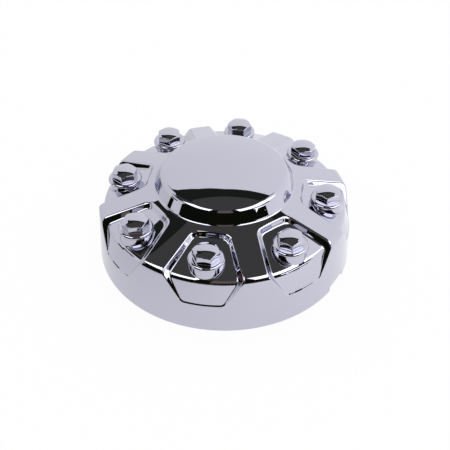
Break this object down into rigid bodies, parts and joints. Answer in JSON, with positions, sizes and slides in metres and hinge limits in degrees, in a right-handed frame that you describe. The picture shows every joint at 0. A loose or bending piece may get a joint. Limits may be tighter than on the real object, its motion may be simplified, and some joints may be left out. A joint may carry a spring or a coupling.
{
  "type": "wheel center cap",
  "caption": "Chrome-plated moulded wheel center cap: a hollow round shell with a raised centre dome, recessed pads over the shoulder and dummy hexagon nuts, pushed over the wheel nuts.",
  "frame": {"origin": "on the wheel axis, in the plane of the rim's edge", "axes": "+Z along the wheel axis, outwards through the dome; one dummy nut lies on -Y"},
  "size_m": [0.2088, 0.2088, 0.0781],
  "materials": {
    "chrome_plate": "bright chrome plate on moulded plastic"
  },
  "bodies": {
    "root": {"center_cap": "chrome_plate"}
  },
  "joints": []
}
